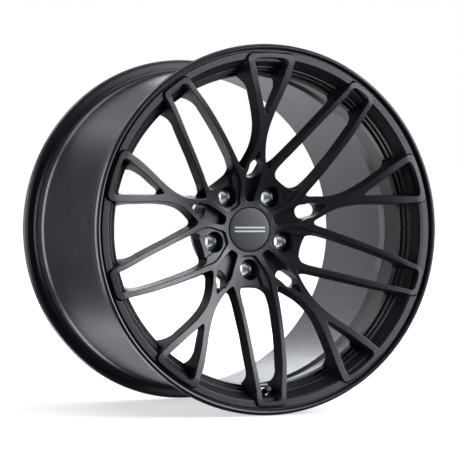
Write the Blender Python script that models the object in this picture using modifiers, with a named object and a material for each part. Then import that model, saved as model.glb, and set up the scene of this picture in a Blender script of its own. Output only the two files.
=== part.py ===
"""Forged racing wheel, 19 x 12 in, five U-shaped and five Y-shaped spoke loops.

Lengths are millimetres times MM. The wheel axis is world Y, the outboard face looks to -Y.
Wheel pieces are modelled in the frame of the empty WHEEL_AXIS: X right, Y up, Z outboard.
Profiles are lists of (radius, z) in that frame; spoke outlines are (x, y) with the spoke up.
"""
import math

import bmesh
import bpy
from mathutils import Vector

MM = 0.001
GAP = 0.3                       # clearance between touching pieces

# rim
FLANGE_R = 258.8                # 19 in bead seat plus a 17.5 mm flange
CREST_Z = 166.8                 # lip crest, half of the overall width
BEAD_Z = 152.4                  # inner flange face, half of 12 in
BEAD_R = 241.3                  # 19 in bead seat radius
RIM_SEGMENTS = 40

# centre
LOOP_R = 245.9                  # outer end of the spoke loops
LEDGE_Z = 155.4                 # floor of the recesses that take the loop ends
PAD_Z = 42.0                    # hub mounting face
PAD_R = 73.0
BORE_R = 33.55                  # hub bore
CAP_R = 31.2
SPOKES = 5
CENTRE_SEGMENTS = 40

# lug holes
LUG_R = 57.15                   # 5 x 114.3 mm bolt circle
LUG_BORE_R = 7.6
COUNTERBORE_R = 15.2
COUNTERBORE_Z = 71.0

# valve, on an inclined axis in the lowest U loop
VALVE_ROOT = (0.0, -235.0, 118.0)
VALVE_TILT = math.radians(20.0)
VALVE_HOLE_R = 4.8

FACE = [(31.0, 88.6), (43.0, 89.6), (57.0, 94.0), (81.0, 106.5), (97.0, 116.2), (126.0, 133.0),
        (158.0, 147.0), (198.0, 160.0), (236.0, CREST_Z), (LOOP_R, CREST_Z)]
BACK = [(81.0, 72.0), (95.0, 92.5), (110.6, 104.9), (150.0, 123.5), (200.0, 138.5),
        (208.0, 134.0), (218.0, 121.0), (240.0, 121.0)]


def along(curve, r):
    """Height of a (radius, z) curve at radius r."""
    if r <= curve[0][0]:
        return curve[0][1]
    for (r0, z0), (r1, z1) in zip(curve, curve[1:]):
        if r <= r1:
            return z0 + (z1 - z0) * (r - r0) / (r1 - r0)
    return curve[-1][1]


# ---------------------------------------------------------------- scene helpers

def clear_scene():
    for obj in list(bpy.data.objects):
        bpy.data.objects.remove(obj, do_unlink=True)


def new_collection(name):
    coll = bpy.data.collections.new(name)
    bpy.context.scene.collection.children.link(coll)
    return coll


def material(name, rgb, roughness, metallic):
    mat = bpy.data.materials.new(name)
    mat.use_nodes = True
    shader = mat.node_tree.nodes["Principled BSDF"]
    shader.inputs["Base Color"].default_value = (*rgb, 1.0)
    shader.inputs["Roughness"].default_value = roughness
    shader.inputs["Metallic"].default_value = metallic
    return mat


def empty(name, parent=None, location=(0, 0, 0), rotation=(0, 0, 0)):
    obj = bpy.data.objects.new(name, None)
    PARTS.objects.link(obj)
    obj.parent = parent
    obj.location = Vector(location) * MM
    obj.rotation_euler = rotation
    return obj


def place(mesh, name, parent, mat=None, spin=0.0, location=(0, 0, 0)):
    """Put a mesh in the scene: a part when it has a material, a cutter when it has none."""
    obj = bpy.data.objects.new(name, mesh)
    (PARTS if mat else CUTTERS).objects.link(obj)
    obj.parent = parent
    obj.location = Vector(location) * MM
    obj.rotation_euler = (0, 0, spin)
    if mat:
        obj.data.materials.clear()
        obj.data.materials.append(mat)
    else:
        obj.hide_render = True
        obj.display_type = "WIRE"
    return obj


def turned(name, profile, segments, parent, mat=None, closed=True, **where):
    """A turned solid: a (radius, z) profile that runs down its outer side, swept by Screw."""
    mesh = bpy.data.meshes.new(name)
    points = [(r * MM, 0, z * MM) for r, z in profile]
    edges = [(i, i + 1) for i in range(len(points) - 1)]
    if closed:
        edges.append((len(points) - 1, 0))
    mesh.from_pydata(points, edges, [])
    obj = place(mesh, name, parent, mat, **where)
    screw = obj.modifiers.new("Turn", "SCREW")
    screw.axis = "Z"
    screw.angle = math.tau
    screw.steps = screw.render_steps = segments
    screw.use_merge_vertices = True
    screw.merge_threshold = 0.00002
    screw.use_smooth_shade = False
    return obj


def rounded(rows, steps):
    """Closed outline from (x, y, corner radius) rows; a radius of 0 keeps the point."""
    points = []
    for i, (x, y, radius) in enumerate(rows):
        p = Vector((x, y))
        if not radius:
            points += [p] * (steps + 1)
            continue
        a = (Vector(rows[i - 1][:2]) - p).normalized()
        b = (Vector(rows[(i + 1) % len(rows)][:2]) - p).normalized()
        half = a.angle(b) / 2
        centre = p + (a + b).normalized() * radius / math.sin(half)
        start = p + a * radius / math.tan(half) - centre
        end = p + b * radius / math.tan(half) - centre
        first = math.atan2(start.y, start.x)
        turn = (math.atan2(end.y, end.x) - first + math.pi) % math.tau - math.pi
        for k in range(steps + 1):
            angle = first + turn * k / steps
            points.append(centre + Vector((math.cos(angle), math.sin(angle))) * radius)
    return points


def loft(name, rings):
    """Closed mesh through rings of equal length, capped at both ends."""
    bm = bmesh.new()
    verts = [[bm.verts.new(Vector(p) * MM) for p in ring] for ring in rings]
    for low, high in zip(verts, verts[1:]):
        for i in range(len(low)):
            j = (i + 1) % len(low)
            bm.faces.new((low[i], low[j], high[j], high[i]))
    bm.faces.new(verts[0])
    bm.faces.new(verts[-1])
    bmesh.ops.remove_doubles(bm, verts=bm.verts, dist=0.00001)
    bmesh.ops.triangulate(bm, faces=bm.faces)
    bmesh.ops.recalc_face_normals(bm, faces=bm.faces)
    mesh = bpy.data.meshes.new(name)
    bm.to_mesh(mesh)
    bm.free()
    return mesh


def prism(name, rows, z0, z1, steps=2):
    """Straight or sloped-floor cutter: z0 and z1 are numbers or functions of the radius."""
    outline = rounded(rows, steps)

    def level(z):
        return [(p.x, p.y, z(p.length) if callable(z) else z) for p in outline]
    return loft(name, [level(z0), level(z1)])


def window(name, rows, steps=2):
    """Through-cutter between a face outline and a back outline.

    Each row is (x, y, radius) on the face followed by (x, y, radius) at the back of the spokes.
    Near the rim the walls stay upright as deep as the ledge, then flare to the back outline.
    """
    front = rounded([row[:3] for row in rows], steps)
    back = rounded([row[3:] for row in rows], steps)
    rings = [[], [], [], [], []]
    for f, b in zip(front, back):
        zf, zb = along(FACE, f.length), along(BACK, b.length)
        knee = 0.07 if f.length > 222 else 0.4
        zk = LEDGE_Z - 1.5 if f.length > 222 else zf + (zb - zf) * knee
        k = f.lerp(b, knee)
        lift, drop = f + (f - k) * 2 / (zf - zk), b + (b - k) * 4 / (zk - zb)
        for ring, (p, z) in zip(rings, ((drop, 20), (drop, zb - 4), (k, zk), (lift, zf + 2),
                                        (lift, 190))):
            ring.append((p.x, p.y, z))
    return loft(name, rings)


def mirrored(rows):
    """Rows for the right half, bottom to top, completed by their mirror image."""
    left = [tuple(-v if i % 3 == 0 else v for i, v in enumerate(row)) for row in reversed(rows)]
    return rows + [row for row in left if abs(row[0]) > 1e-6]


def to_u(x, y):
    """Point of a Y-spoke frame in the frame of the U spoke on its left."""
    c, s = math.cos(math.pi / SPOKES), math.sin(math.pi / SPOKES)
    return x * c + y * s, y * c - x * s


def repeat(mesh, name, first=0.0):
    """Five copies of a cutter around the axis; returns the collection that holds them."""
    group = bpy.data.collections.new(name)
    CUTTERS.children.link(group)
    for i in range(SPOKES):
        cutter = place(mesh, f"{name}_{i + 1}", WHEEL, spin=first + math.tau * i / SPOKES)
        CUTTERS.objects.unlink(cutter)
        group.objects.link(cutter)
    return group


def cut(obj, group):
    """Subtract one cutter object or a collection of cutters."""
    mod = obj.modifiers.new(group.name, "BOOLEAN")
    mod.operation = "DIFFERENCE"
    mod.solver = "EXACT"
    if isinstance(group, bpy.types.Collection):
        mod.operand_type = "COLLECTION"
        mod.collection = group
    else:
        mod.object = group


# ---------------------------------------------------------------- the scene

clear_scene()
PARTS = new_collection("forged_racing_wheel")
CUTTERS = new_collection("cutters")
WHEEL = empty("wheel_axis", rotation=(math.pi / 2, 0, 0))
VALVE = empty("valve_axis", WHEEL, VALVE_ROOT, (-VALVE_TILT, 0, 0))

GREY = (0.105, 0.108, 0.112)
U_UP = -math.pi                 # turns an outline drawn with its spoke up to the lowest spoke
Y_UP = U_UP + math.pi / SPOKES

# ---------------------------------------------------------------- forged centre

hub_back = [(82.0, 73.0), (PAD_R + 1.0, PAD_Z + 1.0), (PAD_R, PAD_Z),
            (BORE_R + 1.0, PAD_Z), (BORE_R, PAD_Z + 1.0), (BORE_R, 72.5), (29.6, 75.5),
            (29.6, 83.6), (CAP_R + 0.4, 83.6), (CAP_R + 0.4, 88.2)]
spoke_back = [(217.4, 121.2), (206.0, 135.0), (200.0, 138.5), (150.0, 123.5), (110.6, 104.9),
              (95.0, 92.5)]
loop_seat = [(LOOP_R, LEDGE_Z + 0.4), (238.5, LEDGE_Z + 0.4), (235.0, LEDGE_Z - 1.3)]
centre = turned("forged_centre", [(CAP_R + 0.8, 88.6)] + FACE[1:] + loop_seat + spoke_back
                + hub_back, CENTRE_SEGMENTS, WHEEL, material("centre_paint", GREY, 0.42, 0.55))

# window between the legs of a U loop, spoke up, right half from the hub outwards
u_inside = [(23.6, 79.0, 11.0, 20.5, 84.0, 10.0), (24.3, 104.0, 0, 20.9, 108.0, 0),
            (22.9, 143.0, 0, 19.6, 143.0, 0), (19.3, 190.6, 0, 16.8, 190.6, 0),
            (16.4, 214.0, 0, 13.6, 212.0, 0), (15.3, 224.0, 0, 8.5, 218.6, 0),
            (14.4, 238.6, 5.5, 8.6, 238.6, 5.0)]
cut(centre, repeat(window("u_window", mirrored(u_inside)), "u_windows", U_UP))

# triangular window at the outer end of a Y spoke
y_inside = [(0.0, 160.1, 1.0, 0.0, 160.0, 5.5), (5.6, 173.5, 0, 6.3, 179.0, 0),
            (12.1, 190.6, 0, 10.1, 190.6, 0), (19.6, 214.0, 0, 16.0, 212.0, 0),
            (22.8, 224.0, 0, 11.6, 218.6, 0), (26.6, 238.0, 5.0, 11.6, 238.0, 5.0)]
cut(centre, repeat(window("y_window", mirrored(y_inside)), "y_windows", Y_UP))

# large window between a U leg and the next Y spoke, in the U frame; open towards the rim
u_outside = [(34.3, 79.0, 2.0, 37.5, 86.0, 7.0), (32.0, 104.0, 0, 35.6, 107.0, 0),
             (29.8, 143.0, 0, 33.1, 143.0, 0), (26.7, 190.6, 0, 29.2, 190.6, 0),
             (24.1, 214.0, 0, 28.4, 212.0, 0), (22.9, 224.0, 0, 34.0, 218.6, 0),
             (21.3, 245.4, 8.6, 34.0, 244.0, 8.6), (9.0, 248.0, 0, 22.0, 247.5, 0),
             (9.0, 266.0, 0, 22.0, 266.0, 0)]
y_outside = [(-15.0, 266.0, 0, -28.0, 266.0, 0), (-15.0, 248.6, 0, -28.0, 247.0, 0),
             (-37.2, 243.7, 8.0, -46.5, 241.0, 8.0), (-33.0, 224.5, 0, -45.0, 219.0, 0),
             (-30.4, 214.0, 0, -34.4, 211.0, 0), (-22.2, 190.6, 0, -24.6, 189.8, 0),
             (-11.0, 157.3, 0, -13.9, 156.5, 0), (-7.8, 141.0, 0, -10.9, 140.6, 0),
             (-7.1, 128.0, 0, -10.4, 129.5, 0), (-8.9, 113.4, 0, -12.2, 116.5, 0),
             (-14.0, 95.3, 0, -15.4, 106.5, 0)]
side = u_outside + [(*to_u(x, y), r, *to_u(u, v), s) for x, y, r, u, v, s in y_outside]
other = [tuple(-v if i % 3 == 0 else v for i, v in enumerate(row)) for row in reversed(side)]
cut(centre, repeat(window("right_window", side), "right_windows", U_UP))
cut(centre, repeat(window("left_window", other), "left_windows", U_UP))

# stepped pocket around each lug hole, then the round counterbore
step_rim = [(8.6, 37.7, 6.0), (21.2, 57.0, 8.0), (25.6, 70.0, 6.0), (24.6, 96.0, 0),
            (24.3, 108.0, 0)]
floor_rim = [(9.0, 50.0, 0), (13.6, 66.0, 2.0), (17.6, 92.0, 0)]


def both(rows):
    return rows + [(-x, y, r) for x, y, r in reversed(rows)]


lug_step = prism("lug_step", both(step_rim), lambda r: along(FACE, r) - 4.0, 200)
cut(centre, repeat(lug_step, "lug_steps", U_UP))
lug_floor = prism("lug_floor", both(floor_rim), lambda r: along(FACE, r) - 9.0, 200)
cut(centre, repeat(lug_floor, "lug_floors", U_UP))

# closed pocket and small window in the root of each Y spoke
y_pocket = [(6.1, 39.8, 4.5), (11.9, 75.5, 5.0), (9.7, 86.0, 0), (6.0, 95.5, 0), (0.8, 109.2, 0)]
cut(centre, repeat(prism("y_pocket", both(y_pocket), lambda r: along(FACE, r) - 12.0, 200),
                   "y_pockets", Y_UP))
y_hole = loft("y_hole", [
    [(p.x, p.y, z) for p in rounded(both([(x, low, r), (x, top, r)]), 3)]
    for z, x, low, top, r in ((30.0, 9.6, 75.0, 97.0, 8.6), (84.0, 9.6, 75.0, 97.0, 8.6),
                              (92.0, 10.2, 73.0, 99.5, 9.2), (120.0, 10.2, 73.0, 99.5, 9.2))])
cut(centre, repeat(y_hole, "y_holes", Y_UP))

SLEEVE_R, SLEEVE_Z = 10.4, 45.3  # radius and inner end of the steel seats
lug_tool = [(0, 200.0), (COUNTERBORE_R, 200.0), (COUNTERBORE_R, COUNTERBORE_Z),
            (SLEEVE_R + GAP, COUNTERBORE_Z), (SLEEVE_R + GAP, SLEEVE_Z - 0.3),
            (8.6, SLEEVE_Z - 0.3), (8.6, 30.0), (0, 30.0)]
sleeve = [(LUG_BORE_R + 2.0, COUNTERBORE_Z), (SLEEVE_R - 0.4, COUNTERBORE_Z),
          (SLEEVE_R, COUNTERBORE_Z - 0.4), (SLEEVE_R, SLEEVE_Z + 0.4), (SLEEVE_R - 0.4, SLEEVE_Z),
          (LUG_BORE_R, SLEEVE_Z), (LUG_BORE_R, COUNTERBORE_Z - 3.5)]
STEEL = material("bare_steel", (0.62, 0.63, 0.64), 0.28, 1.0)
lug_tools = bpy.data.collections.new("lug_tools")
CUTTERS.children.link(lug_tools)
for i in range(SPOKES):
    spot = math.radians(-90) + math.tau * i / SPOKES
    at = (LUG_R * math.cos(spot), LUG_R * math.sin(spot), 0)
    tool = turned(f"lug_tool_{i + 1}", lug_tool, 20, WHEEL, closed=False, location=at)
    CUTTERS.objects.unlink(tool)
    lug_tools.objects.link(tool)
    turned(f"lug_seat_{i + 1}", sleeve, 20, WHEEL, STEEL, location=at)
cut(centre, lug_tools)

# ---------------------------------------------------------------- rim barrel

flange = [(254.6, CREST_Z), (257.4, 164.8), (FLANGE_R, 160.4), (257.4, 154.8), (253.6, BEAD_Z)]
bead = [(245.0, BEAD_Z), (BEAD_R, 148.8), (BEAD_R - 1.5, 131.5)]
hump = [(BEAD_R - 0.6, 127.5), (239.0, 123.5)]
barrel_outside = [(232.0, 113.0), (231.0, 81.0), (227.2, 71.0), (227.8, 35.0), (233.0, -30.0),
                  (238.4, -122.0)]
rear = [(BEAD_R - 0.6, -127.5), (BEAD_R - 1.5, -131.5), (BEAD_R, -148.8), (245.0, -BEAD_Z),
        (253.6, -BEAD_Z), (257.4, -154.8), (FLANGE_R, -160.4), (257.4, -164.8),
        (254.6, -CREST_Z), (248.0, -CREST_Z), (242.6, -159.0), (236.8, -155.5)]
barrel_inside = [(234.8, -118.0), (228.8, -30.0), (223.8, 35.0), (223.0, 70.0), (226.2, 79.0),
                 (226.2, 117.5)]
steps = [(219.6, 120.2), (218.7, 121.7), (219.7, 124.6), (222.7, 126.0), (223.6, 131.6),
         (226.6, 133.0), (227.5, 138.6), (230.3, 140.2), (235.5, 153.9)]
ledge = [(247.0, 159.7), (248.6, 157.8), (250.6, 158.2), (252.2, 166.0)]
rim = turned("rim_barrel", flange + bead + hump + barrel_outside + rear + barrel_inside + steps
             + ledge, RIM_SEGMENTS, WHEEL, material("rim_paint", GREY, 0.42, 0.55))

# recesses in the ledge, 2 mm wider than the loop ends that lie in them
MARGIN = 2.0
u_end = [(21.9 + MARGIN, 214.0, 0), (21.3 + MARGIN, LOOP_R + MARGIN - 0.7, 8.0),
         (10.0, LOOP_R + MARGIN, 0)]
y_end = [(30.5 + MARGIN, 214.0, 0), (37.2 + MARGIN, 245.2, 8.0), (18.0, LOOP_R + MARGIN - 0.4, 0)]
cut(rim, repeat(prism("u_recess", both(u_end), LEDGE_Z, 200), "u_recesses", U_UP))
cut(rim, repeat(prism("y_recess", both(y_end), LEDGE_Z, 200), "y_recesses", Y_UP))

valve_tool = [(0, 60.0), (8.2, 60.0), (8.2, 19.5), (VALVE_HOLE_R, 19.5), (VALVE_HOLE_R, 9.0),
              (7.2, 9.0), (7.2, -16.0), (0, -16.0)]
cut(rim, turned("valve_tool", valve_tool, 24, VALVE, closed=False))

# ---------------------------------------------------------------- centre cap

cap_profile = [(0, 89.0), (16.0, 88.9), (27.0, 88.7), (30.6, 88.4), (CAP_R, 87.8),
               (CAP_R, 84.9), (30.4, 83.9), (28.6, 83.9), (28.6, 78.5), (28.6, 74.9),
               (29.4, 74.1), (29.4, 72.8), (28.6, 70.5), (27.0, 70.5), (27.0, 85.6),
               (0, 86.0)]
CAP_DARK = (0.075, 0.077, 0.08)
cap = turned("cap_shell", cap_profile, 40, WHEEL, material("cap_satin", CAP_DARK, 0.34, 0.5),
             closed=False)
slot = bpy.data.collections.new("cap_slots")
CUTTERS.children.link(slot)
CLIPS = 8
for i in range(CLIPS):
    spot = math.tau * (i + 0.5) / CLIPS
    bm = bmesh.new()
    bmesh.ops.create_cube(bm, size=1.0)
    bmesh.ops.scale(bm, vec=Vector((8.0, 7.0, 20.0)) * MM, verts=bm.verts)
    mesh = bpy.data.meshes.new("cap_slot")
    bm.to_mesh(mesh)
    bm.free()
    cutter = place(mesh, f"cap_slot_{i + 1}", WHEEL, spin=spot,
                   location=(28.0 * math.cos(spot), 28.0 * math.sin(spot), 71.5))
    CUTTERS.objects.unlink(cutter)
    slot.objects.link(cutter)
cut(cap, slot)

RING_WIRE = 0.8
ring_profile = [(25.8 + RING_WIRE * math.cos(math.tau * -k / 6),
                 75.5 + RING_WIRE * math.sin(math.tau * -k / 6)) for k in range(6)]
turned("cap_spring_ring", ring_profile, 36, WHEEL, material("spring_steel", (0.55, 0.55, 0.56),
                                                             0.3, 1.0))

BADGE = material("badge_grey", (0.42, 0.43, 0.44), 0.4, 0.3)
for name, y in (("cap_badge_upper", 2.6), ("cap_badge_lower", -2.6)):
    bar = [(24.0, 1.3, 1.25), (-24.0, 1.3, 1.25), (-24.0, -1.3, 1.25), (24.0, -1.3, 1.25)]
    place(prism(name, bar, 89.3, 89.8, 4), name, WHEEL, BADGE, location=(0, y, 0))

# ---------------------------------------------------------------- valve

BLACK = material("anodised_black", (0.03, 0.03, 0.032), 0.4, 0.6)
BRASS = material("core_brass", (0.62, 0.45, 0.2), 0.32, 1.0)
RUBBER = material("black_rubber", (0.02, 0.02, 0.02), 0.75, 0.0)
ZINC = material("nut_bright", (0.72, 0.73, 0.74), 0.22, 1.0)
PLASTIC = material("cap_black_plastic", (0.025, 0.025, 0.026), 0.55, 0.0)

turned("valve_stem", [(4.0, 35.6), (4.0, 4.3), (6.6, 4.0), (6.6, 1.0), (5.8, 0.4), (1.2, 0.4),
                      (1.2, 12.0), (1.7, 13.0), (1.7, 19.0), (2.6, 20.0), (2.6, 36.0),
                      (3.6, 36.0)], 20, VALVE, BLACK)
turned("valve_grommet", [(6.9, 8.4), (6.9, 4.6), (4.4, 4.6), (4.4, 8.7), (6.6, 8.7)], 20, VALVE,
       RUBBER)
turned("valve_washer", [(7.4, 20.8), (7.4, 19.8), (4.4, 19.8), (4.4, 21.0), (7.2, 21.0)], 20,
       VALVE, ZINC)
turned("valve_core_body", [(2.3, 34.6), (2.3, 20.6), (1.3, 20.6), (1.3, 33.4), (0.8, 33.6),
                           (0.8, 34.8), (2.1, 34.8)], 20, VALVE, BRASS)
turned("valve_core_gasket", [(1.55, 18.6), (1.55, 16.4), (0.75, 16.4), (0.75, 18.6)], 20, VALVE,
       RUBBER)
turned("valve_core_pin", [(0, 35.6), (0.4, 35.5), (0.5, 35.3), (0.5, 14.4), (1.1, 14.2),
                          (1.1, 13.4), (0, 13.2)], 16, VALVE, BRASS, closed=False)
turned("valve_cap", [(0, 39.6), (3.9, 39.6), (4.7, 38.8), (4.7, 29.3), (4.3, 28.9),
                     (4.25, 37.6), (0, 37.6)], 20, VALVE, PLASTIC, closed=False)
turned("valve_cap_seal", [(0, 37.3), (3.8, 37.3), (3.9, 37.1), (3.9, 36.5), (3.8, 36.3),
                          (0, 36.3)], 20, VALVE, RUBBER, closed=False)

bm = bmesh.new()
bmesh.ops.create_cone(bm, cap_ends=True, segments=6, radius1=6.4 * MM, radius2=6.4 * MM,
                      depth=4.6 * MM)
mesh = bpy.data.meshes.new("valve_nut")
bm.to_mesh(mesh)
bm.free()
nut = place(mesh, "valve_nut", VALVE, ZINC, location=(0, 0, 23.6))
bevel = nut.modifiers.new("Edges", "BEVEL")
bevel.width = 0.4 * MM
bevel.segments = 1
cut(nut, turned("nut_bore", [(0, 40.0), (4.4, 40.0), (4.4, 10.0), (0, 10.0)], 20, VALVE,
                closed=False))

# core spring: a small coil around the pin, inside the core body
TURNS, SPRING_R = 6, 0.9
curve = bpy.data.curves.new("valve_core_spring", "CURVE")
curve.dimensions = "3D"
curve.bevel_depth = 0.12 * MM
curve.bevel_resolution = 1
curve.use_fill_caps = True
line = curve.splines.new("POLY")
count = TURNS * 8 + 1
line.points.add(count - 1)
for k, point in enumerate(line.points):
    turn = math.tau * k / 8
    point.co = (SPRING_R * MM * math.cos(turn), SPRING_R * MM * math.sin(turn),
                (22.0 + 10.0 * k / (count - 1)) * MM, 1.0)
coil = bpy.data.objects.new("coil_curve", curve)
bpy.context.scene.collection.objects.link(coil)
mesh = bpy.data.meshes.new_from_object(coil.evaluated_get(bpy.context.evaluated_depsgraph_get()))
bpy.data.objects.remove(coil)
bm = bmesh.new()
bm.from_mesh(mesh)
bmesh.ops.remove_doubles(bm, verts=bm.verts, dist=0.000001)
bm.to_mesh(mesh)
bm.free()
place(mesh, "valve_core_spring", VALVE, material("spring_wire", (0.5, 0.5, 0.5), 0.3, 1.0))
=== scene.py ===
"""Forged racing wheel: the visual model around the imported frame.

Wheel pieces are modelled in millimetres in the wheel's own frame, X right, Y up, Z outboard,
and TO_WORLD turns them into the frame's metres. Profiles are (radius, z) rows, spoke outlines
are (x, y) rows with the spoke pointing up.
"""
import math

import bmesh
import bpy
from mathutils import Matrix, Vector


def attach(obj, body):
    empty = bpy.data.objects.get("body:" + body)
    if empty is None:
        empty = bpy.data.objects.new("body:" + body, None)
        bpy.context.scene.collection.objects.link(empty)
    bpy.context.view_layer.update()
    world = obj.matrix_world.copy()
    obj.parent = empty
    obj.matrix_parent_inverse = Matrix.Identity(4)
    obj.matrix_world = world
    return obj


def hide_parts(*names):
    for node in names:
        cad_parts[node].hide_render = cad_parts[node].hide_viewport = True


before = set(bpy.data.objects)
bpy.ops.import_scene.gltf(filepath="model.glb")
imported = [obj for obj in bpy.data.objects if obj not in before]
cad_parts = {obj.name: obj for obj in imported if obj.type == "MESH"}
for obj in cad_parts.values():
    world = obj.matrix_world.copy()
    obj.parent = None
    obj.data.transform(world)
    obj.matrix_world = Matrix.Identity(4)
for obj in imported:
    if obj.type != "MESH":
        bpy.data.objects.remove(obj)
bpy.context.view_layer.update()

MM = 0.001
TO_WORLD = Matrix.Rotation(math.pi / 2, 4, "X") @ Matrix.Scale(MM, 4)
SPOKES = 5
HALF = math.pi / SPOKES              # half of one repeat of the spoke pattern
TURN_STEPS = 22                      # facets of a turned surface in half a repeat
SEGMENTS = 96                        # facets of the small turned pieces
ARC_STEPS = 6                        # pieces of a rounded corner
GRID = 3.0                           # longest straight piece of an outline
SHARP = 32                           # edges sharper than this many degrees stay sharp

EDGE = 1.1                           # radius of the machined edges
# that radius in steps, as shares of EDGE: depth below the surface, distance past the wall
ROUND = ((1.0, 0.0), (0.62, 0.08), (0.29, 0.29), (0.08, 0.62), (0.0, 1.0))
CLEAR = 2.0                          # how far a cutter reaches past the edge it rounds

CREST_Z = 166.8                      # foremost point of the wheel
ABOVE_Z, BELOW_Z = 190.0, 20.0       # ends of the cutters, clear of the centre
LOOP_R = 245.9                       # the spoke loops end here
LEDGE_Z = 155.4                      # floor of the rim's recesses for them
PAD_Z, PAD_R = 42.0, 73.0            # pad that is bolted to the vehicle's hub
CAP_R = 31.2                         # seat of the centre cap
LUG_R = 57.15                        # half of the 114.3 mm bolt circle
VALVE_ROOT = Vector((0.0, -235.0, 118.0))
VALVE_TILT = math.radians(20.0)

# heights of the spokes' front and back along the radius
FACE = [(31.0, 88.6), (43.0, 89.6), (57.0, 94.0), (81.0, 106.5), (97.0, 116.2), (126.0, 133.0),
        (158.0, 147.0), (198.0, 160.0), (236.0, CREST_Z - 0.1), (LOOP_R, CREST_Z - 0.1)]
BACK = [(81.0, 72.6), (95.0, 93.0), (110.6, 105.3), (150.0, 123.9), (200.0, 138.8),
        (208.0, 134.4), (218.0, 121.4), (240.0, 121.4)]


# ---------------------------------------------------------------- curves and outlines

def hermite(curve, r):
    """Smooth height of a (radius, z) curve at radius r, without overshoot at its ends."""
    if r <= curve[0][0]:
        return curve[0][1]
    if r >= curve[-1][0]:
        return curve[-1][1]
    i = max(k for k in range(len(curve) - 1) if curve[k][0] <= r)
    (r0, z0), (r1, z1) = curve[i], curve[i + 1]

    def slope(k):
        a, b = curve[max(k - 1, 0)], curve[min(k + 1, len(curve) - 1)]
        return (b[1] - a[1]) / (b[0] - a[0])
    t = (r - r0) / (r1 - r0)
    w = r1 - r0
    return ((2 * t ** 3 - 3 * t ** 2 + 1) * z0 + (t ** 3 - 2 * t ** 2 + t) * w * slope(i)
            + (-2 * t ** 3 + 3 * t ** 2) * z1 + (t ** 3 - t ** 2) * w * slope(i + 1))


def face_z(r):
    return hermite(FACE, r)


def back_z(r):
    for (r0, z0), (r1, z1) in zip(BACK, BACK[1:]):
        if r <= r1:
            return z0 + (z1 - z0) * max(r - r0, 0.0) / (r1 - r0)
    return BACK[-1][1]


def arc(last, p, following, radius, steps):
    """Points that round the corner p; the radius shrinks where its neighbours are close."""
    to_last, to_next = last - p, following - p
    a, b = to_last.normalized(), to_next.normalized()
    half = a.angle(b) / 2
    if half > math.pi / 2 - 0.01:
        return [p.copy() for _ in range(steps + 1)]
    radius = min(radius, 0.47 * min(to_last.length, to_next.length) * math.tan(half))
    centre = p + (a + b).normalized() * radius / math.sin(half)
    start = p + a * radius / math.tan(half) - centre
    end = p + b * radius / math.tan(half) - centre
    first = math.atan2(start.y, start.x)
    turn = (math.atan2(end.y, end.x) - first + math.pi) % math.tau - math.pi
    return [centre + Vector((math.cos(first + turn * k / steps),
                             math.sin(first + turn * k / steps))) * radius
            for k in range(steps + 1)]


def rounded(rows, steps=ARC_STEPS):
    """Closed outline of (x, y, radius) rows; every row gives steps + 1 points."""
    points = []
    for i, (x, y, radius) in enumerate(rows):
        p = Vector((x, y))
        if radius:
            points += arc(Vector(rows[i - 1][:2]), p, Vector(rows[(i + 1) % len(rows)][:2]),
                          radius, steps)
        else:
            points += [p.copy() for _ in range(steps + 1)]
    return points


def distinct(points, gap=0.01):
    """The points of a closed outline without those that repeat the one before."""
    return [p for p, q in zip(points, points[-1:] + points) if (p - q).length > gap]


def both_sides(rows):
    """Outline about x = 0 from the (x, y, radius) rows of its right side."""
    return rounded(rows + [(-x, y, r) for x, y, r in reversed(rows)])


def profile(rows, steps=4):
    """Closed (r, z) profile; a row may end with the radius that rounds its corner."""
    full = [tuple(row) + (0,) * (3 - len(row)) for row in rows]
    return [(p.x, p.y) for p in distinct(rounded(full, steps), 0.004)]


def smooth_pair(front, back):
    """Refine two matching outlines: long pieces are split along a smooth curve."""
    keep = [i for i in range(len(front))
            if (front[i] - front[i - 1]).length > 0.01 or (back[i] - back[i - 1]).length > 0.01]
    f, b = [front[i] for i in keep], [back[i] for i in keep]
    out = ([], [])
    for i in range(len(f)):
        j = (i + 1) % len(f)
        parts = max(1, math.ceil(max((f[j] - f[i]).length, (b[j] - b[i]).length) / GRID))
        for k in range(parts):
            for points, result in ((f, out[0]), (b, out[1])):
                result.append(between(points, i, k / parts))
    return out


def between(points, i, t):
    """Point between points[i] and the next on a Catmull-Rom curve with real spacing."""
    n = len(points)
    p0, p1, p2, p3 = (points[(i + k) % n] for k in (-1, 0, 1, 2))
    d0, d1, d2 = (max((q - p).length, 0.001) for p, q in ((p0, p1), (p1, p2), (p2, p3)))
    m1 = ((p1 - p0) / d0 - (p2 - p0) / (d0 + d1) + (p2 - p1) / d1) * d1
    m2 = ((p2 - p1) / d1 - (p3 - p1) / (d1 + d2) + (p3 - p2) / d2) * d1
    chord = p2 - p1
    if chord.length < 0.001:
        return p1.lerp(p2, t)
    # a sharper turn than this, in radians, keeps its straight sides
    bend = 0.35
    m1 = m1 if m1.angle(chord, 0) < bend else chord
    m2 = m2 if m2.angle(chord, 0) < bend else chord
    return (p1 * (2 * t ** 3 - 3 * t ** 2 + 1) + m1 * (t ** 3 - 2 * t ** 2 + t)
            + p2 * (-2 * t ** 3 + 3 * t ** 2) + m2 * (t ** 3 - t ** 2))


def outward(points):
    """Unit normals of a closed outline, pointing out of it."""
    n = len(points)
    area = sum(points[i - 1].cross(points[i]) for i in range(n))
    side = 1 if area > 0 else -1
    normals = []
    for i in range(n):
        along = points[(i + 1) % n] - points[i - 1]
        normals.append(Vector((along.y, -along.x)).normalized() * side)
    return normals


def mirrored(rows):
    """Rows for the right half completed by their mirror image; x is every third number."""
    left = [tuple(-v if i % 3 == 0 else v for i, v in enumerate(row)) for row in reversed(rows)]
    return rows + [row for row in left if abs(row[0]) > 1e-6]


def to_u(x, y):
    """Point of a Y-spoke frame in the frame of the U spoke on its left."""
    c, s = math.cos(HALF), math.sin(HALF)
    return x * c + y * s, y * c - x * s


# ---------------------------------------------------------------- meshes

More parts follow.
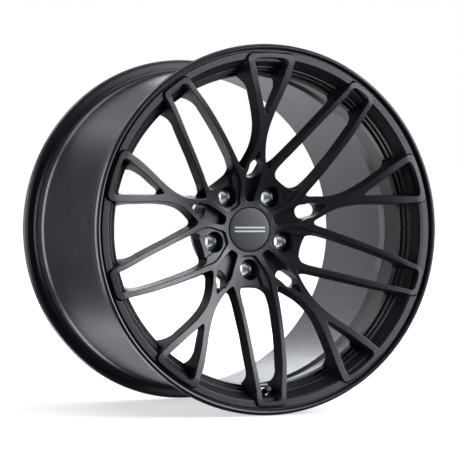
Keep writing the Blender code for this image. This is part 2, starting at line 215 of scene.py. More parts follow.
def skin(rings, cap_grid=None):
    """Closed bmesh through rings of equal length; cap_grid fills the first one."""
    bm = bmesh.new()
    verts = [[bm.verts.new(p) for p in ring] for ring in rings]
    for low, high in zip(verts, verts[1:]):
        for i in range(len(low)):
            j = (i + 1) % len(low)
            bm.faces.new((low[i], low[j], high[j], high[i]))
    bm.faces.new(verts[-1])
    if cap_grid is None:
        bm.faces.new(verts[0])
    else:
        cap_grid(bm, verts[0])
    bmesh.ops.remove_doubles(bm, verts=bm.verts, dist=0.01)
    bmesh.ops.triangulate(bm, faces=bm.faces)
    bmesh.ops.recalc_face_normals(bm, faces=bm.faces)
    return bm


def prism(ring, levels):
    """Closed bmesh from an outline; each level is an inset and a height."""
    normal = outward(ring)
    return skin([[(p.x - n.x * inset, p.y - n.y * inset, z) for p, n in zip(ring, normal)]
                 for inset, z in levels])


def wall_point(front, back, part):
    """Point and height on a window's wall; part runs from 0 at the back to 1 at the face."""
    top, low = face_z(front.length), back_z(back.length)
    # the walls are straight, but next to the rim they are upright and turn out at their foot;
    # the change is from radius 218, where rim is 0, to radius 228, where it is 1
    rim = min(max((front.length - 218.0) / 10.0, 0.0), 1.0)
    inward = 1 - part
    if rim < 1:
        inward = (1 - rim) * inward + rim * (0.07 if part > 0.6 else 0.75 - part)
    else:
        inward = 0.04 + 0.96 * (1 - part / 0.75) ** 2.6
    knee_z = LEDGE_Z - 1.5
    upright_z = knee_z if part > 0.6 else low + (knee_z - low) * part / 0.62
    return front.lerp(back, inward), (top + (low - top) * (1 - part)) * (1 - rim) + upright_z * rim


def window(rows):
    """Through-cutter between a face outline and a back outline, with rounded edges.

    A row holds x, y and corner radius on the face, then the same at the back.
    """
    front, back = smooth_pair(rounded([row[:3] for row in rows]),
                              rounded([row[3:] for row in rows]))
    lines = []
    for f, b, u, v in zip(front, back, outward(front), outward(back)):
        wide_back, wide_front = b + v * (EDGE + CLEAR), f + u * (EDGE + CLEAR)
        line = [(wide_back, BELOW_Z), (wide_back, back_z(wide_back.length) - CLEAR)]
        for depth, out in reversed(ROUND):
            p = b + v * EDGE * out
            line.append((p, back_z(p.length) + EDGE * depth))
        line += [wall_point(f, b, part) for part in (0.25, 0.5, 0.75)]
        for depth, out in ROUND:
            p = f + u * EDGE * out
            line.append((p, face_z(p.length) - EDGE * depth))
        line += [(wide_front, face_z(f.length) + 2.5), (wide_front, ABOVE_Z)]
        lines.append([(p.x, p.y, z) for p, z in line])
    return skin([list(ring) for ring in zip(*lines)])


def symmetric(rows, columns):
    """Outline of a pocket about x = 0 and the number of points on its right side.

    The right side runs up, then come the points across the top, the left side, and the
    points across the bottom.
    """
    full = distinct(both_sides(rows))
    sides = len(full) // 2
    right = []
    for i in range(sides - 1):
        parts = max(1, math.ceil((full[i + 1] - full[i]).length / GRID))
        right += [between(full, i, k / parts) for k in range(parts)]
    right.append(full[sides - 1])
    left = [Vector((-p.x, p.y)) for p in reversed(right)]
    top = [right[-1].lerp(left[0], k / columns) for k in range(1, columns)]
    low = [left[-1].lerp(right[0], k / columns) for k in range(1, columns)]
    return right + top + left + low, len(right)


def pocket(rows, under_face):
    """Cutter for a pocket symmetric about x = 0, with its floor so far under the face."""
    columns, corner = 8, 1.2
    ring, count = symmetric(rows, columns)
    normal = outward(ring)

    def floor(r):
        return face_z(r) - under_face

    # half the pocket's width at each point limits the radius of the floor's corner
    widths = [abs(p.x) for p in ring]
    widths[count:count + columns - 1] = [ring[count - 1].x] * (columns - 1)
    widths[-(columns - 1):] = [ring[0].x] * (columns - 1)
    rings = []
    for inset, up in ((1.0, 0.0), (0.29, 0.29), (0.0, 1.0)):
        points = [p - n * inset * min(corner, 0.3 * w) for p, n, w in zip(ring, normal, widths)]
        rings.append([(p.x, p.y, floor(p.length) + up * corner) for p in points])
    for depth, out in ROUND:
        points = [p + n * EDGE * out for p, n in zip(ring, normal)]
        rings.append([(p.x, p.y, face_z(p.length) - EDGE * depth) for p in points])
    wide = [p + n * (EDGE + CLEAR) for p, n in zip(ring, normal)]
    rings.append([(p.x, p.y, face_z(p.length) + CLEAR) for p in wide])
    rings.append([(p.x, p.y, ABOVE_Z) for p in wide])

    def grid(bm, base):
        """Fill the floor's outline with rows of faces, so that it follows the face's curve."""
        lines = [[base[0], *reversed(base[-(columns - 1):]), base[-columns]]]
        for i in range(1, count - 1):
            a, b = base[i], base[2 * count + columns - 2 - i]
            inner = []
            for k in range(1, columns):
                x, y = a.co.lerp(b.co, k / columns).xy
                inner.append(bm.verts.new((x, y, floor(math.hypot(x, y)))))
            lines.append([a, *inner, b])
        lines.append(base[count - 1:count + columns])
        for low, high in zip(lines, lines[1:]):
            for k in range(columns):
                bm.faces.new((low[k], low[k + 1], high[k + 1], high[k]))
    return skin(rings, grid)


def lathe(points, steps, start=0.0, angle=math.tau):
    """Turned bmesh about Z. A part turn is closed by its end caps."""
    bm = bmesh.new()
    whole = abs(angle - math.tau) < 1e-6
    rings = []
    for k in range(steps if whole else steps + 1):
        a = start + angle * k / steps
        rings.append([bm.verts.new((r * math.cos(a), r * math.sin(a), z)) for r, z in points])
    pairs = list(zip(rings, rings[1:])) + ([(rings[-1], rings[0])] if whole else [])
    for low, high in pairs:
        for i in range(len(points)):
            j = (i + 1) % len(points)
            bm.faces.new((low[i], low[j], high[j], high[i]))
    if not whole:
        bm.faces.new(rings[0])
        bm.faces.new(list(reversed(rings[-1])))
    bmesh.ops.remove_doubles(bm, verts=bm.verts, dist=0.0005)
    bmesh.ops.dissolve_degenerate(bm, edges=bm.edges, dist=0.0005)
    # a profile that touches the axis leaves loose edges along it
    loose = [e for e in bm.edges if not e.link_faces]
    bmesh.ops.delete(bm, geom=loose, context="EDGES")
    bmesh.ops.recalc_face_normals(bm, faces=bm.faces)
    return bm


def rotated(bm, angle):
    bmesh.ops.rotate(bm, verts=bm.verts, matrix=Matrix.Rotation(angle, 3, "Z"))
    return bm


def moved(bm, x, y, z=0):
    bmesh.ops.translate(bm, verts=bm.verts, vec=(x, y, z))
    return bm


def as_bmesh(mesh):
    bm = bmesh.new()
    bm.from_mesh(mesh)
    return bm


def as_object(name, bm, matrix=None):
    """Object with the bmesh, which is used up; matrix is applied to the mesh."""
    mesh = bpy.data.meshes.new(name)
    bm.to_mesh(mesh)
    bm.free()
    if matrix is not None:
        mesh.transform(matrix)
    obj = bpy.data.objects.new(name, mesh)
    bpy.context.scene.collection.objects.link(obj)
    return obj


def carve(solid, cutters):
    """Mesh of the solid less all cutters; every bmesh given is used up."""
    body = as_object("carved", solid)
    tools = []
    for i, cutter in enumerate(cutters):
        tool = as_object(f"tool_{i}", cutter)
        mod = body.modifiers.new(tool.name, "BOOLEAN")
        mod.operation = "DIFFERENCE"
        mod.solver = "EXACT"
        mod.object = tool
        tools.append(tool)
    evaluated = body.evaluated_get(bpy.context.evaluated_depsgraph_get())
    mesh = bpy.data.meshes.new_from_object(evaluated)
    for obj in (body, *tools):
        bpy.data.objects.remove(obj)
    return mesh


def drop_seams(bm):
    """Remove the faces that lie on the two planes that bound half a repeat."""
    planes = (Vector((1, 0, 0)), Vector((math.cos(HALF), -math.sin(HALF), 0)))
    for normal in planes:
        on = {v for v in bm.verts if abs(v.co.dot(normal)) < 0.003}
        for v in on:
            v.co -= normal * v.co.dot(normal)
        gone = [f for f in bm.faces if all(v in on for v in f.verts)]
        bmesh.ops.delete(bm, geom=gone, context="FACES")


def repeat(halves):
    """Full ring from half repeats, first the lowest U spoke and then anticlockwise."""
    whole = bmesh.new()
    for i, mesh in enumerate(halves):
        half = as_bmesh(mesh)
        drop_seams(half)
        twin = half.copy()
        bmesh.ops.scale(twin, vec=(-1, 1, 1), verts=twin.verts)
        bmesh.ops.reverse_faces(twin, faces=twin.faces)
        for part in (half, twin):
            turn = Matrix.Rotation(math.pi + math.tau * i / SPOKES, 4, "Z")
            bmesh.ops.transform(part, matrix=turn, verts=part.verts)
            scratch = bpy.data.meshes.new("scratch")
            part.to_mesh(scratch)
            part.free()
            whole.from_mesh(scratch)
            bpy.data.meshes.remove(scratch)
    bmesh.ops.remove_doubles(whole, verts=whole.verts, dist=0.004)
    bmesh.ops.dissolve_degenerate(whole, edges=whole.edges, dist=0.0005)
    return whole


def finish_mesh(obj, angle):
    """Smooth shading with sharp edges by angle, and normals weighted by face area."""
    obj.data.shade_smooth()
    obj.data.set_sharp_from_angle(angle=math.radians(angle))
    weighted = obj.modifiers.new("Normals", "WEIGHTED_NORMAL")
    weighted.keep_sharp = True
    weighted.weight = 80


def piece(name, bm, body, mat, node, matrix=TO_WORLD, angle=SHARP):
    """A finished piece in the frame: it rides on a body and stands for a CAD node."""
    obj = as_object(name, bm, matrix)
    obj.data.materials.append(mat)
    finish_mesh(obj, angle)
    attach(obj, body)
    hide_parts(node)


# ---------------------------------------------------------------- materials

def surface(name, color, roughness, metallic=0.0, mottle=0.12, grain=900.0, bump=0.04):
    """Principled material with soft colour variation, and fine grain in bump and roughness."""
    mat = bpy.data.materials.new(name)
    mat.use_nodes = True
    tree = mat.node_tree
    shader = tree.nodes["Principled BSDF"]
    shader.inputs["Metallic"].default_value = metallic
    coords = tree.nodes.new("ShaderNodeTexCoord")

    def noise(scale, detail):
        node = tree.nodes.new("ShaderNodeTexNoise")
        node.inputs["Scale"].default_value = scale
        node.inputs["Detail"].default_value = detail
        tree.links.new(coords.outputs["Object"], node.inputs["Vector"])
        return node.outputs["Fac"]

    mix = tree.nodes.new("ShaderNodeMix")
    mix.data_type = "RGBA"
    dark, light = mix.inputs[6], mix.inputs[7]
    dark.default_value = (*[c * (1 - mottle) for c in color], 1)
    light.default_value = (*[c * (1 + mottle) for c in color], 1)
    tree.links.new(noise(14.0, 3.0), mix.inputs["Factor"])
    tree.links.new(mix.outputs[2], shader.inputs["Base Color"])

    uneven = tree.nodes.new("ShaderNodeMapRange")
    uneven.inputs["To Min"].default_value = roughness - 0.06
    uneven.inputs["To Max"].default_value = roughness + 0.06
    tree.links.new(noise(60.0, 4.0), uneven.inputs["Value"])
    tree.links.new(uneven.outputs["Result"], shader.inputs["Roughness"])

    relief = tree.nodes.new("ShaderNodeBump")
    relief.inputs["Strength"].default_value = bump
    relief.inputs["Distance"].default_value = 0.0004
    tree.links.new(noise(grain, 2.0), relief.inputs["Height"])
    tree.links.new(relief.outputs["Normal"], shader.inputs["Normal"])
    return mat


SATIN_BLACK = (0.0112, 0.0122, 0.0160)
PAINT = surface("satin_paint", SATIN_BLACK, 0.38)
RIM_PAINT = surface("satin_paint_rim", SATIN_BLACK, 0.32)
CAP_PAINT = surface("cap_satin", (0.018, 0.0185, 0.020), 0.36, mottle=0.06)
STEEL = surface("machined_steel", (0.50, 0.51, 0.52), 0.30, 1.0, grain=2500.0, bump=0.05)
ZINC = surface("bright_zinc", (0.36, 0.37, 0.38), 0.32, 1.0, grain=2500.0, bump=0.03)
BRASS = surface("core_brass_turned", (0.62, 0.45, 0.20), 0.30, 1.0, grain=3000.0)
BLACK = surface("anodised_black", (0.022, 0.022, 0.024), 0.38, 0.4, grain=2600.0)
RUBBER = surface("matt_rubber", (0.018, 0.018, 0.018), 0.78, grain=1800.0, bump=0.25)
PLASTIC = surface("moulded_plastic", (0.020, 0.020, 0.021), 0.52, grain=1500.0, bump=0.15)
SPRING = surface("drawn_spring_wire", (0.5, 0.5, 0.5), 0.3, 1.0)
BADGE = surface("badge_print", (0.50, 0.51, 0.52), 0.42, 0.2, mottle=0.05)

# ---------------------------------------------------------------- forged centre

# Window outlines; each spoke points up. "inside" is the window within a loop, "outside" the
# loop's own outer wall, and the U spoke's and Y spoke's outer walls bound the window between.
u_inside = [(23.6, 79.0, 11.0, 20.5, 84.0, 10.0), (24.3, 104.0, 0, 20.9, 108.0, 0),
            (22.9, 143.0, 0, 19.6, 143.0, 0), (19.3, 190.6, 0, 16.8, 190.6, 0),
            (16.4, 214.0, 0, 14.4, 212.0, 0), (15.3, 224.0, 0, 10.8, 220.5, 0),
            (14.4, 238.6, 5.5, 10.4, 238.6, 5.0)]
y_inside = [(0.0, 160.1, 1.0, 0.0, 160.0, 5.5), (5.6, 173.5, 0, 6.3, 179.0, 0),
            (12.1, 190.6, 0, 10.1, 190.6, 0), (19.6, 214.0, 0, 17.0, 212.0, 0),
            (22.8, 224.0, 0, 15.5, 220.5, 0), (26.6, 238.0, 5.0, 18.0, 238.0, 5.0)]
u_outside = [(34.3, 79.0, 2.0, 37.5, 86.0, 7.0), (32.0, 104.0, 0, 35.6, 107.0, 0),
             (29.8, 143.0, 0, 33.1, 143.0, 0), (26.7, 190.6, 0, 29.2, 190.6, 0),
             (24.1, 214.0, 0, 27.0, 212.0, 0), (22.9, 224.0, 0, 29.5, 220.5, 0),
             (21.4, 245.2, 8.6, 29.5, 244.0, 8.6), (2.0, 246.4, 0, 11.0, 248.0, 0),
             (2.0, 266.0, 0, 11.0, 266.0, 0)]
y_outside = [(-15.0, 266.0, 0, -28.0, 266.0, 0), (-15.0, 246.3, 0, -28.0, 247.0, 0),
             (-37.3, 243.25, 8.6, -43.0, 241.5, 8.6), (-33.0, 224.5, 0, -40.0, 220.5, 0),
             (-30.4, 214.0, 0, -33.0, 211.0, 0), (-22.2, 190.6, 0, -24.6, 189.8, 0),
             (-11.0, 157.3, 0, -13.9, 156.5, 0), (-7.8, 141.0, 0, -10.9, 140.6, 0),
             (-7.1, 128.0, 0, -10.4, 129.5, 0), (-8.9, 113.4, 0, -12.2, 116.5, 0),
             (-14.0, 95.3, 0, -15.4, 106.5, 0)]
between_loops = u_outside + [(*to_u(x, y), r, *to_u(u, v), s) for x, y, r, u, v, s in y_outside]


def turned_face():
    """Profile of the centre before the windows: face, loop end, back of the spokes, hub."""
    radii = [r for r, _ in FACE[1:-2]] + [236.0]
    face = [(CAP_R + 0.6, 87.6), (CAP_R + 1.4, 88.65), (37.0, 89.0)]
    for r0, r1 in zip(radii, radii[1:]):
        parts = max(1, round((r1 - r0) / 5.0))
        face += [(r, face_z(r)) for r in (r0 + (r1 - r0) * k / parts for k in range(parts))]
    face.append((236.0, CREST_Z - 0.1))
    end = profile([(230.0, CREST_Z - 0.1), (LOOP_R, CREST_Z - 0.1, 1.2),
                   (LOOP_R, LEDGE_Z + 0.4, 0.4), (238.5, LEDGE_Z + 0.4),
                   (235.0, LEDGE_Z - 1.3, 0.8), (217.4, 121.4, 1.5), (206.0, 135.2, 3.0),
                   (200.0, 138.6, 4.0), (150.0, 123.7, 20.0), (110.6, 105.1, 12.0),
                   (95.0, 92.7, 6.0), (82.0, 73.4, 5.0), (PAD_R + 1.0, PAD_Z + 3.0, 1.5),
                   (PAD_R, PAD_Z, 0.8), (33.6, PAD_Z, 1.2), (33.6, 72.5, 0.3), (29.6, 75.5),
                   (29.6, 83.6), (CAP_R + 0.5, 83.6), (CAP_R + 0.5, 87.6)])[1:]
    return face + end[:-1]


# pockets in the face: a step 4 mm deep and in it a floor 9 mm deep in each U root, and one
# 12 mm deep in each Y root
step_rim = [(8.6, 37.7, 6.0), (21.2, 57.0, 8.0), (25.6, 70.0, 6.0), (24.6, 96.0, 0),
            (24.3, 108.0, 0)]
floor_rim = [(9.0, 50.0, 0), (13.6, 66.0, 2.0), (17.6, 92.0, 0)]
y_pocket = [(6.1, 39.8, 4.5), (11.9, 75.5, 5.0), (9.7, 86.0, 0), (6.0, 95.5, 0),
            (0.8, 109.2, 0)]


def y_hole():
    """Cutter for the oval hole in a Y spoke's root, flared towards the face."""
    rows = ((30.0, 9.8, 75.0, 97.0, 9.0), (84.0, 9.8, 75.0, 97.0, 9.0),
            (92.0, 10.4, 73.0, 99.5, 9.6), (130.0, 10.4, 73.0, 99.5, 9.6))
    return skin([[(p.x, p.y, z) for p in both_sides([(x, low, r), (x, top, r)])]
                 for z, x, low, top, r in rows])


# bolt hole: a wide well, the bore of the steel sleeve and its chamfered exit
lug_tool = profile([(0, 200.0), (15.2, 200.0), (15.2, 71.0, 1.2), (11.3, 71.0),
                    (10.7, 70.4), (10.7, 45.0), (8.6, 45.0), (8.6, 42.6), (9.2, 41.8),
                    (9.2, 30.0), (0, 30.0)])
wedge = lathe(turned_face(), TURN_STEPS, math.pi / 2 - HALF, HALF)
half = carve(wedge, [
    window(mirrored(u_inside)), rotated(window(mirrored(y_inside)), -HALF),
    window(between_loops),
    pocket(step_rim, 4.0), pocket(floor_rim, 9.0), rotated(pocket(y_pocket, 12.0), -HALF),
    rotated(y_hole(), -HALF),
    moved(lathe(lug_tool, 64), 0, LUG_R)])
piece("centre_forging", repeat([half] * SPOKES), "wheel", PAINT, "forged_centre")

# ---------------------------------------------------------------- rim barrel

# section from the front lip along the outside to the rear lip, then back along the inside
RIM_ROWS = [
    (252.4, 166.0, 0.6), (254.4, 166.75, 1.0), (257.2, 165.0, 2.0), (258.75, 160.3, 3.0),
    (257.2, 154.9, 2.0), (253.6, 152.45, 0.6), (245.0, 152.4, 2.5), (241.3, 148.8, 2.5),
    (239.9, 131.5, 4.0), (240.7, 127.5, 2.5), (239.0, 123.5, 3.0), (232.0, 113.0, 6.0),
    (231.0, 66.0, 8.0), (227.4, 56.0, 8.0), (228.4, 35.0, 10.0), (233.0, -30.0, 30.0),
    (238.4, -122.0, 8.0), (240.7, -127.5, 2.5), (239.9, -131.5, 4.0), (241.3, -148.8, 2.5),
    (245.0, -152.4, 2.5), (253.6, -152.45, 0.6), (257.2, -154.9, 2.0), (258.75, -160.3, 3.0),
    (257.2, -165.0, 2.0), (254.4, -166.75, 1.0), (248.0, -166.7, 1.5), (242.6, -159.0, 3.0),
    (236.8, -155.5, 1.2), (234.85, -118.0, 4.0), (228.85, -30.0, 30.0), (225.0, 35.0, 20.0),
    (223.5, 55.4, 1.0), (226.9, 65.8, 1.0), (226.4, 117.5, 1.2), (218.4, 119.6, 0.5),
    (217.7, 121.3, 0.6), (219.4, 130.2, 0.6), (222.4, 129.4, 0.6), (223.4, 137.4, 0.6),
    (226.0, 136.6, 0.6), (226.9, 143.0, 0.6), (229.0, 142.4, 0.8), (236.9, 159.4, 0.5),
    (238.9, 161.8, 0.8), (248.2, 162.3, 0.6), (248.9, 159.0, 0.4), (250.9, 159.0, 0.4)]
MARGIN = 1.4                         # gap round a loop end in its recess
u_end = [(21.9 + MARGIN, 214.0, 0), (21.3 + MARGIN, LOOP_R + MARGIN - 0.7, 8.0),
         (10.0, LOOP_R + MARGIN, 0)]
y_end = [(30.5 + MARGIN, 214.0, 0), (37.2 + MARGIN, 245.2, 8.0),
         (18.0, LOOP_R + MARGIN - 0.4, 0)]


def recess(rows):
    """Straight-walled cutter for the ledge, with its bottom edge rounded."""
    return prism(distinct(both_sides(rows)),
                 ((0.6, LEDGE_Z), (0.0, LEDGE_Z + 0.6), (0.0, 200.0)))


valve_tool = [(0, 60.0), (8.2, 60.0), (8.2, 19.5), (4.8, 19.5), (4.8, 9.0), (7.2, 9.0),
              (7.2, -16.0), (0, -16.0)]
VALVE = Matrix.Translation(VALVE_ROOT) @ Matrix.Rotation(-VALVE_TILT, 4, "X")
# the cutters' sector points up; the lowest sector is turned round to it
UPRIGHT = Matrix.Rotation(math.pi, 4, "Z")


def rim_half(*cutters):
    return carve(lathe(profile(RIM_ROWS, 3), TURN_STEPS, math.pi / 2 - HALF, HALF),
                 [recess(u_end), rotated(recess(y_end), -HALF), *cutters])


valve_bore = lathe(valve_tool, 48)
bmesh.ops.transform(valve_bore, matrix=UPRIGHT @ VALVE, verts=valve_bore.verts)
with_valve, plain = rim_half(valve_bore), rim_half()
piece("rim_barrel_forging", repeat([with_valve] + [plain] * (SPOKES - 1)), "wheel", RIM_PAINT,
      "rim_barrel")

# ---------------------------------------------------------------- bolt seats and centre cap

seat = profile([(9.7, 71.0, 0.2), (10.35, 71.0, 0.35), (10.35, 45.35, 0.35),
                (7.65, 45.35, 0.3), (7.65, 67.4, 0.4)], 3)
for i in range(SPOKES):
    spot = -math.pi / 2 + math.tau * i / SPOKES
    piece(f"bolt_seat_{i + 1}",
          moved(lathe(seat, SEGMENTS), LUG_R * math.cos(spot), LUG_R * math.sin(spot)),
          "wheel", STEEL, f"lug_seat_{i + 1}")

cap_rows = [(0, 89.0), (10.0, 88.96), (20.0, 88.8), (28.0, 88.5), (31.15, 88.2, 0.9),
            (31.15, 84.9, 0.4), (30.4, 83.9), (28.6, 83.9), (28.6, 74.9, 0.3), (29.4, 74.1, 0.3),
            (29.4, 72.8, 0.3), (28.6, 70.5, 0.3), (27.0, 70.5, 0.3), (27.0, 85.6, 0.8), (0, 86.0)]
CLIPS = 8                            # sprung clips, with a slot between each two
SLOT_SIZE, SLOT_AT = (8.0, 7.0, 20.0), (28.0, 0, 71.5)
slots = []
for i in range(CLIPS):
    slot = bmesh.new()
    bmesh.ops.create_cube(slot, size=1.0)
    bmesh.ops.scale(slot, vec=SLOT_SIZE, verts=slot.verts)
    slots.append(rotated(moved(slot, *SLOT_AT), math.tau * (i + 0.5) / CLIPS))
cap = as_bmesh(carve(lathe(profile(cap_rows), SEGMENTS), slots))
piece("centre_cap_shell", cap, "centre_cap", CAP_PAINT, "cap_shell")

WIRE_R, WIRE_SIDES = 0.78, 12
wire = [(25.8 + WIRE_R * math.cos(-math.tau * k / WIRE_SIDES),
         75.5 + WIRE_R * math.sin(-math.tau * k / WIRE_SIDES)) for k in range(WIRE_SIDES)]
piece("centre_cap_spring_ring", lathe(wire, SEGMENTS), "centre_cap", SPRING,
      "cap_spring_ring")

# two plain bars in place of the cap's lettering
BAR_X, BAR_Y, BAR_CORNER = 23.9, 1.25, 1.2
for place, y in (("upper", 2.6), ("lower", -2.6)):
    outline = rounded([(BAR_X, BAR_Y, BAR_CORNER), (-BAR_X, BAR_Y, BAR_CORNER),
                       (-BAR_X, -BAR_Y, BAR_CORNER), (BAR_X, -BAR_Y, BAR_CORNER)], 8)
    bar = prism(outline, ((0.0, 89.3), (0.0, 89.6), (0.18, 89.76), (0.4, 89.8)))
    piece(f"cap_mark_{place}", moved(bar, 0, y), "centre_cap", BADGE, f"cap_badge_{place}")

# ---------------------------------------------------------------- valve

AT_VALVE = TO_WORLD @ VALVE


def valve_piece(name, rows, body, mat, node, steps=48):
    """A turned piece on the valve's own axis."""
    piece(name, lathe(profile(rows), steps), body, mat, node, AT_VALVE)


def threaded(radius, pitch, low, high, depth):
    """Profile rows of a fine external thread, top to bottom."""
    rows, z = [], high
    while z > low:
        rows += [(radius, z), (radius - depth, z - pitch / 2)]
        z -= pitch
    return rows


valve_piece("tyre_valve_stem",
            threaded(3.95, 0.8, 27.2, 35.4, 0.35) + [(3.5, 26.8), (3.95, 26.2)]
            + [(3.95, 4.3, 0.3), (6.5, 4.0, 0.4), (6.5, 1.0, 0.4), (5.8, 0.45, 0.2), (1.2, 0.45),
               (1.2, 12.0), (1.7, 13.0), (1.7, 19.0), (2.6, 20.0), (2.6, 35.9), (3.4, 35.9)],
            "wheel", BLACK, "valve_stem")
valve_piece("tyre_valve_grommet",
            [(6.85, 8.4, 0.3), (6.85, 4.65, 0.3), (4.45, 4.65), (4.45, 8.65), (6.5, 8.65)],
            "wheel", RUBBER, "valve_grommet")
valve_piece("tyre_valve_washer",
            [(7.35, 20.7, 0.2), (7.35, 19.85, 0.2), (4.45, 19.85), (4.45, 20.95), (7.1, 20.95)],
            "wheel", ZINC, "valve_washer")
valve_piece("valve_core_barrel",
            [(2.25, 34.4, 0.2), (2.25, 20.65, 0.2), (1.35, 20.65), (1.35, 33.4), (0.85, 33.6),
             (0.85, 34.75), (2.05, 34.75)],
            "wheel", BRASS, "valve_core_body", 32)
valve_piece("valve_core_seal",
            [(1.5, 18.55, 0.2), (1.5, 16.45, 0.2), (0.78, 16.45), (0.78, 18.55)],
            "valve_pin", RUBBER, "valve_core_gasket", 32)
valve_piece("valve_core_plunger",
            [(0, 35.55), (0.4, 35.45), (0.48, 35.3), (0.48, 14.4), (1.05, 14.2), (1.05, 13.45),
             (0, 13.25)],
            "valve_pin", BRASS, "valve_core_pin", 24)
valve_piece("tyre_valve_cap_seal",
            [(0, 37.28), (3.7, 37.28, 0.2), (3.85, 36.9), (3.75, 36.35, 0.2), (0, 36.35)],
            "valve_cap_travel", RUBBER, "valve_cap_seal")

RIBS, RIB_DEPTH = 24, 0.28
dust_cap = lathe(profile([
    (0, 39.55), (3.2, 39.5), (4.0, 39.2), (4.6, 38.4), (4.65, 38.0), (4.65, 36.0), (4.65, 34.0),
    (4.65, 32.0), (4.65, 30.4), (4.65, 29.5), (4.5, 29.0), (4.3, 29.0), (4.28, 37.55),
    (0, 37.55)]), 5 * RIBS)
for v in dust_cap.verts:
    r = v.co.xy.length
    if 30.0 < v.co.z < 38.3 and r > 4.4:      # the outer side between its two ends
        groove = 0.5 + 0.5 * math.cos(RIBS * math.atan2(v.co.y, v.co.x))
        v.co.xy *= (r - RIB_DEPTH * groove) / r
piece("tyre_valve_cap", dust_cap, "valve_cap_turn", PLASTIC, "valve_cap",
      AT_VALVE, 50)

NUT_R, NUT_HEIGHT, NUT_Z = 6.35, 4.5, 23.6
nut = bmesh.new()
bmesh.ops.create_cone(nut, cap_ends=True, segments=6, radius1=NUT_R, radius2=NUT_R,
                      depth=NUT_HEIGHT)
bmesh.ops.bevel(nut, geom=nut.edges, offset=0.45, segments=3, profile=0.5, affect="EDGES")
nut_bore = lathe([(0, 40.0), (4.45, 40.0), (4.45, 10.0), (0, 10.0)], 48)
nut = as_bmesh(carve(moved(nut, 0, 0, NUT_Z), [nut_bore]))
piece("tyre_valve_nut", nut, "wheel", ZINC, "valve_nut", AT_VALVE)

COIL_R, COIL_LOW, COIL_HEIGHT = 0.89, 22.05, 9.9
COIL_TURNS, PER_TURN = 6, 20
spring = bpy.data.curves.new("coil", "CURVE")
spring.dimensions = "3D"
spring.bevel_depth = 0.115
spring.bevel_resolution = 3
spring.use_fill_caps = True
path = spring.splines.new("POLY").points
path.add(COIL_TURNS * PER_TURN)      # besides the one a new spline has
for k, point in enumerate(path):
    turn = math.tau * k / PER_TURN
    point.co = (COIL_R * math.cos(turn), COIL_R * math.sin(turn),
                COIL_LOW + COIL_HEIGHT * k / (len(path) - 1), 1)
coil = bpy.data.objects.new("coil", spring)
bpy.context.scene.collection.objects.link(coil)
coil_mesh = bpy.data.meshes.new_from_object(
    coil.evaluated_get(bpy.context.evaluated_depsgraph_get()))
bpy.data.objects.remove(coil)
bm = as_bmesh(coil_mesh)
bmesh.ops.remove_doubles(bm, verts=bm.verts, dist=0.001)
piece("valve_core_coil", bm, "wheel", SPRING, "valve_core_spring", AT_VALVE)

# ---------------------------------------------------------------- stage, light and camera

WHITE = (1, 1, 1, 1)


def smooth_range(tree, source, from_min, from_max, to_min, to_max):
    """Socket that follows source smoothly from one range to another."""
    node = tree.nodes.new("ShaderNodeMapRange")
    node.interpolation_type = "SMOOTHSTEP"
    for key, value in (("From Min", from_min), ("From Max", from_max),
                       ("To Min", to_min), ("To Max", to_max)):
        node.inputs[key].default_value = value
    tree.links.new(source, node.inputs["Value"])
    return node.outputs["Result"]


FLOOR_Z = -0.2588                    # the lips stand here
floor_paint = bpy.data.materials.new("studio_white")
floor_paint.use_nodes = True
tree = floor_paint.node_tree
shader = tree.nodes["Principled BSDF"]
shader.inputs["Base Color"].default_value = (0.8, 0.8, 0.8, 1)
shader.inputs["Roughness"].default_value = 1.0
shader.inputs["Specular IOR Level"].default_value = 0.0
shader.inputs["Emission Color"].default_value = WHITE
# the floor glows more with distance in metres, so that it meets the white background unseen
away = tree.nodes.new("ShaderNodeVectorMath")
away.operation = "LENGTH"
tree.links.new(tree.nodes.new("ShaderNodeTexCoord").outputs["Object"], away.inputs[0])
tree.links.new(smooth_range(tree, away.outputs["Value"], 0.5, 2.2, 0.5, 1.2),
               shader.inputs["Emission Strength"])
bm = bmesh.new()
bmesh.ops.create_circle(bm, cap_ends=True, segments=96, radius=40.0)
floor = as_object("studio_floor", bm, Matrix.Translation((0, 0, FLOOR_Z - 0.0004)))
floor.data.materials.append(floor_paint)
# it takes the wheel's shadow but casts none, so the light from below reaches the wheel
floor.visible_glossy = False
floor.visible_diffuse = False
floor.visible_shadow = False

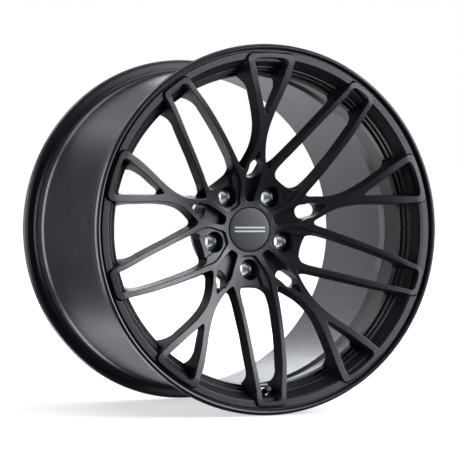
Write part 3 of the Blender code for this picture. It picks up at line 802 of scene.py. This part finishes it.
# the sky is white to the camera; the object sees a faint one, darker behind than in front
world = bpy.data.worlds.new("studio")
bpy.context.scene.world = world
world.use_nodes = True
tree = world.node_tree
seen = tree.nodes["Background"]
seen.inputs["Color"].default_value = WHITE
seen.inputs["Strength"].default_value = 1.0
around = tree.nodes.new("ShaderNodeBackground")
around.inputs["Color"].default_value = (0.82, 0.90, 1.0, 1)
split = tree.nodes.new("ShaderNodeSeparateXYZ")
tree.links.new(tree.nodes.new("ShaderNodeTexCoord").outputs["Generated"], split.inputs["Vector"])
tree.links.new(smooth_range(tree, split.outputs["Y"], -0.2, 1.0, 0.10, 0.04),
               around.inputs["Strength"])
mix = tree.nodes.new("ShaderNodeMixShader")
tree.links.new(tree.nodes.new("ShaderNodeLightPath").outputs["Is Camera Ray"], mix.inputs["Fac"])
tree.links.new(around.outputs["Background"], mix.inputs[1])
tree.links.new(seen.outputs["Background"], mix.inputs[2])
tree.links.new(mix.outputs["Shader"], tree.nodes["World Output"].inputs["Surface"])

# name, place, the point it faces, width, height, watts
ORIGIN, FAR_SIDE = (0, 0, 0), (0.1, 0, 0)
SOFTBOXES = (
    ("key_right", (1.9, -1.55, 0.75), ORIGIN, 2.4, 2.1, 135),
    ("top", (0.2, 0.5, 2.6), ORIGIN, 2.4, 1.6, 30),
    ("left", (-2.0, 1.05, 0.1), ORIGIN, 0.7, 2.2, 38),
    ("front_left", (-2.3, -0.95, 0.1), ORIGIN, 0.5, 1.6, 14),
    ("rear_right", (0.78, 1.85, 0.65), ORIGIN, 0.8, 0.9, 6.5),
    ("rear_high", (-0.85, 1.15, 1.4), FAR_SIDE, 0.9, 0.9, 7),
    ("rear_low", (-0.85, 1.15, -1.4), FAR_SIDE, 0.9, 0.9, 13),
    ("back", (0.1, 1.7, -0.05), FAR_SIDE, 1.3, 2.2, 7.5))
for name, place, target, width, height, watts in SOFTBOXES:
    light = bpy.data.lights.new(name, "AREA")
    light.shape = "RECTANGLE"
    light.size, light.size_y = width, height
    light.energy = watts
    light.color = (0.935, 0.96, 1.0)
    obj = bpy.data.objects.new(name, light)
    bpy.context.scene.collection.objects.link(obj)
    obj.location = place
    obj.rotation_euler = (Vector(target) - Vector(place)).to_track_quat("-Z", "Y").to_euler()
    obj.visible_camera = False

# 3.1 m away, 23 degrees to the left of the wheel's axis and level with it
camera_data = bpy.data.cameras.new("camera")
camera_data.sensor_width = 36.0
camera_data.lens = 167.8
camera = bpy.data.objects.new("camera", camera_data)
bpy.context.scene.collection.objects.link(camera)
camera.location = (-1.2082, -2.8768, 0.0109)
aim = Vector((0.0055, 0.0, 0.0004)) - camera.location
camera.rotation_euler = aim.to_track_quat("-Z", "Y").to_euler()
bpy.context.scene.camera = camera
bpy.context.scene.view_settings.view_transform = "Standard"
